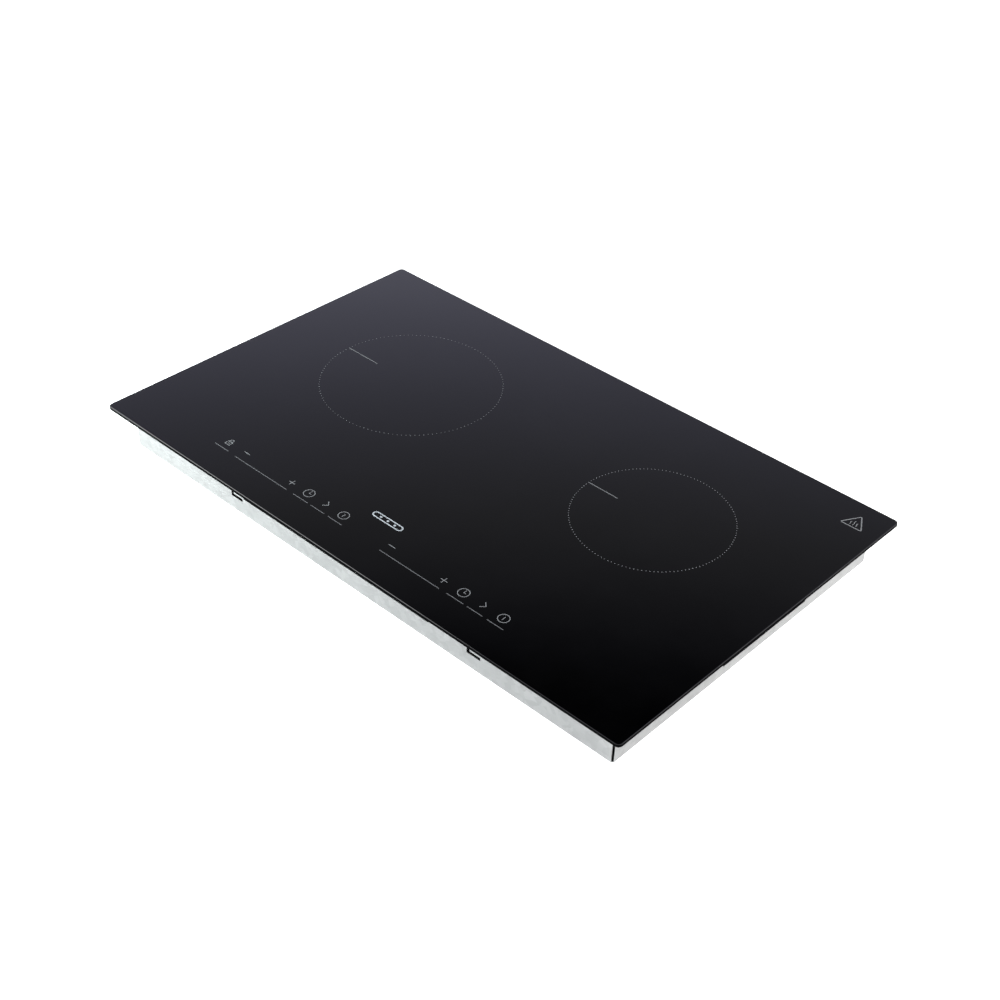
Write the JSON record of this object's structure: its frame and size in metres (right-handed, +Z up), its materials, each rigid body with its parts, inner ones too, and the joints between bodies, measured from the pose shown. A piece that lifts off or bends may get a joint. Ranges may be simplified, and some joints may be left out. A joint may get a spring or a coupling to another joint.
{
  "type": "electric induction cooktop",
  "caption": "Built-in induction cooktop: black glass plate with dotted cooking-zone rings and a touch strip, bonded over a folded sheet-metal tray with sprung coils, boards and fans.",
  "frame": {"origin": "on the floor under the centre of the glass plate, at the tray's underside", "axes": "+X along the front edge to the cook's right, +Y to the rear wall, +Z up through the glass"},
  "size_m": [0.7, 0.43, 0.051],
  "materials": {
    "black_glass": "polished black glass-ceramic with a ground edge",
    "tray_sheet": "bright zinc-coated sheet",
    "rail_steel": "zinc-plated",
    "screw_steel": "zinc-plated",
    "spring_steel": "spring wire",
    "silicone": "matt",
    "seal_foam": "closed-cell foam",
    "black_plastic": "moulded",
    "white_plastic": "moulded",
    "board_green": "lacquered circuit board",
    "contact_brass": "satin",
    "coil_copper": "lacquered copper strand",
    "ferrite": "matt",
    "mica": "matt",
    "aluminium": "mill finish",
    "capacitor_case": "moulded",
    "lead_sleeve": "silicone sleeve"
  },
  "bodies": {
    "housing": {"glass_plate": "black_glass", "glass_adhesive": "silicone", "worktop_seal": "seal_foam", "bottom_tray": "tray_sheet", "rail_front": "rail_steel", "rail_rear": "rail_steel", "rail_left": "rail_steel", "rail_right": "rail_steel", "rail_screws": "screw_steel", "touch_board": "board_green", "touch_carrier": "white_plastic", "touch_pads": "contact_brass", "display_left": "black_plastic", "display_right": "black_plastic", "ribbon_cable": "lead_sleeve", "coil_springs_left": "spring_steel", "coil_springs_right": "spring_steel", "coil_pins_left": "screw_steel", "coil_pins_right": "screw_steel", "coil_plate_left": "aluminium", "coil_plate_right": "aluminium", "coil_leads_left": "lead_sleeve", "coil_leads_right": "lead_sleeve", "plate_pillars": "rail_steel", "plate_screws": "screw_steel", "power_board_left": "board_green", "power_board_right": "board_green", "heatsink_left": "aluminium", "heatsink_right": "aluminium", "power_transistors_left": "black_plastic", "power_transistors_right": "black_plastic", "board_capacitors_left": "capacitor_case", "board_capacitors_right": "capacitor_case", "board_choke_left": "coil_copper", "board_choke_right": "coil_copper", "board_standoffs": "white_plastic", "board_screws": "screw_steel", "insulation_sheets": "white_plastic", "filter_board": "board_green", "filter_parts": "capacitor_case", "fan_frame_left": "black_plastic", "fan_frame_right": "black_plastic", "fan_screws": "screw_steel", "terminal_block": "white_plastic", "terminal_screws": "screw_steel", "cord_bush": "black_plastic", "supply_leads": "lead_sleeve"},
    "coil_left": {"coil_former_left": "white_plastic", "coil_winding_left": "coil_copper", "coil_ferrites_left": "ferrite", "coil_disc_left": "mica", "coil_sensor_left": "silicone"},
    "coil_right": {"coil_former_right": "white_plastic", "coil_winding_right": "coil_copper", "coil_ferrites_right": "ferrite", "coil_disc_right": "mica", "coil_sensor_right": "silicone"},
    "fan_left": {"fan_rotor_left": "black_plastic"},
    "fan_right": {"fan_rotor_right": "black_plastic"}
  },
  "joints": [
    {"name": "fan_left_spin", "type": "hinge", "parent": "housing", "child": "fan_left", "pos_m": [-0.27, -0.103, 0.0108], "axis": [0, 0, 1], "continuous": true},
    {"name": "fan_right_spin", "type": "hinge", "parent": "housing", "child": "fan_right", "pos_m": [0.27, -0.103, 0.0108], "axis": [0, 0, 1], "continuous": true},
    {"name": "coil_left_float", "type": "slide", "parent": "housing", "child": "coil_left", "axis": [0, 0, 1], "range_m": [-0.002, 0], "stiffness_N_per_m": 6000, "springref_m": 0.005, "deforming": ["coil_springs_left", "coil_leads_left"]},
    {"name": "coil_right_float", "type": "slide", "parent": "housing", "child": "coil_right", "axis": [0, 0, 1], "range_m": [-0.002, 0], "stiffness_N_per_m": 6000, "springref_m": 0.005, "deforming": ["coil_springs_right", "coil_leads_right"]}
  ]
}
